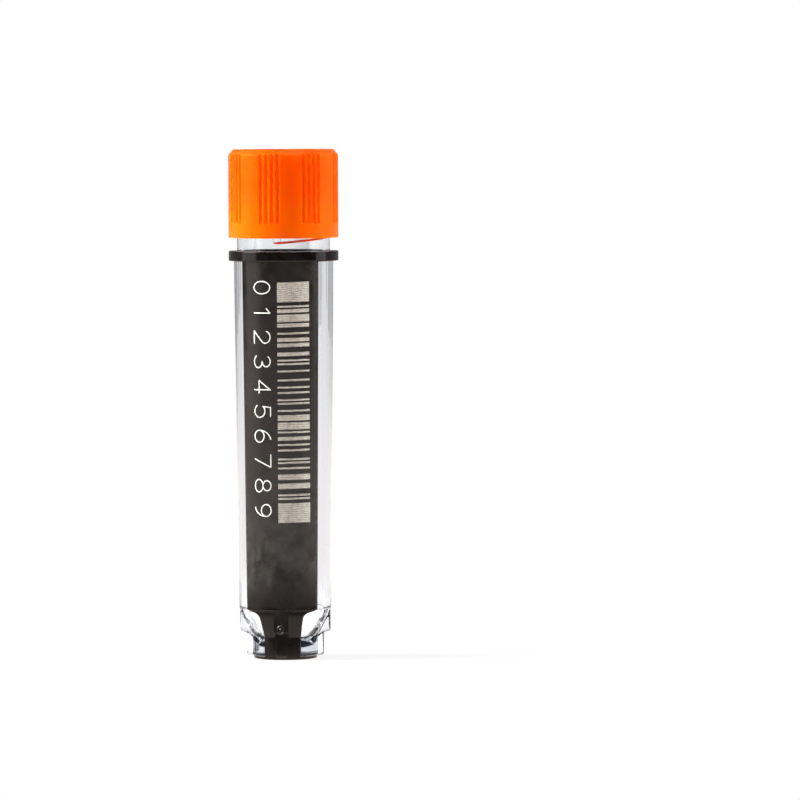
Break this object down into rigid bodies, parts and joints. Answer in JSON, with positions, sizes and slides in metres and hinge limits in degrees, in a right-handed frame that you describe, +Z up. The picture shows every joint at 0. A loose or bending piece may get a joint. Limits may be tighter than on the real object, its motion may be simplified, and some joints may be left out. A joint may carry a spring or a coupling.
{
  "type": "cryovial",
  "caption": "Clear sample tube with a black coded jacket, a ribbed foot that keys into a rack, and an orange screw cap with a grip and a soft seal.",
  "frame": {"origin": "centre of the flat underside of the code disc, on the vial's axis", "axes": "+Z up along the vial's axis to the cap, -Y out through the middle of the coded strip and the black rib, +X to the right as the strip is faced"},
  "size_m": [0.0126, 0.0126, 0.058],
  "materials": {
    "clear_plastic": "gloss",
    "black_plastic": "semi-gloss",
    "orange_plastic": "semi-gloss",
    "soft_seal": "matte"
  },
  "bodies": {
    "vial": {"tube": "clear_plastic", "code_jacket": "black_plastic"},
    "seal": {"seal_ring": "soft_seal"},
    "cap": {"screw_cap": "orange_plastic"}
  },
  "joints": [
    {"name": "cap_lift", "type": "slide", "parent": "vial", "child": "seal", "axis": [0, 0, 1], "range_m": [0, 0.0105]},
    {"name": "cap_turn", "type": "hinge", "parent": "seal", "child": "cap", "pos_m": [0, 0, 0.0535], "axis": [0, 0, 1], "range_deg": [0, 1260]}
  ],
  "couplings": [
    {"joint": "cap_turn", "follows": "cap_lift", "rad_per_m": 2094.4}
  ]
}
